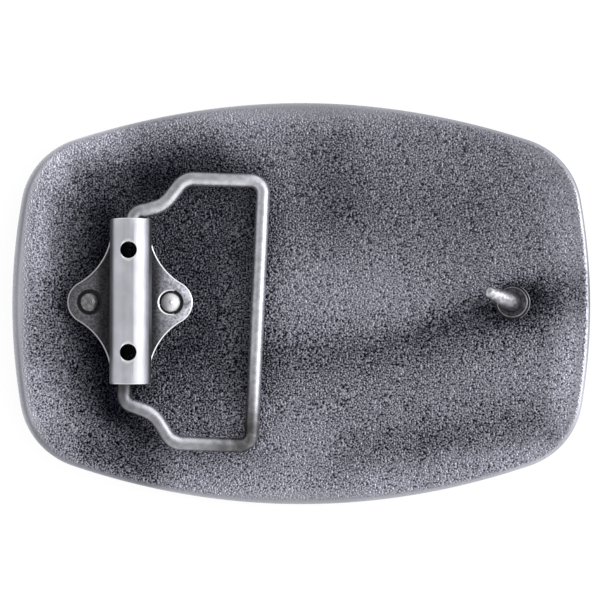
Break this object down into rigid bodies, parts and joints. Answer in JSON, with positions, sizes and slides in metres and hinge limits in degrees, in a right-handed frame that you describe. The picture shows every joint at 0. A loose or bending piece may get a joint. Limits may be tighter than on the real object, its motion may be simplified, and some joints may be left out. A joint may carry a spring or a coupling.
{
  "type": "belt buckle",
  "caption": "Domed plate belt buckle, lying back up: barrel-shaped casting with a riveted hinge bracket, a swinging wire bail for the strap and a leaning fixed prong.",
  "frame": {"origin": "lowest point of the domed front, under the middle of the plate, which lies on its front with the back up", "axes": "+X along the belt from the hinge to the prong, +Y across the belt, +Z out of the back of the buckle"},
  "size_m": [0.0958, 0.0672, 0.0116],
  "materials": {
    "plate": "cast zinc alloy, antique dark nickel with bright worn grain",
    "bracket": "satin nickel-plated sheet steel",
    "rivets": "set rivet heads, satin",
    "bail": "nickel-plated drawn wire, semi-bright",
    "prong": "nickel-plated, lightly worn",
    "collar": "dark nickel ring with a worn bright rim"
  },
  "bodies": {
    "buckle": {"plate": "plate", "hinge_bracket": "bracket", "rivet_left": "rivets", "rivet_right": "rivets", "prong": "prong", "prong_collar": "collar"},
    "bail": {"bail": "bail"}
  },
  "joints": [
    {"name": "bail_swing", "type": "hinge", "parent": "buckle", "child": "bail", "pos_m": [-0.02814, 0, 0.00817], "axis": [0, -1, 0], "range_deg": [0, 188]}
  ]
}
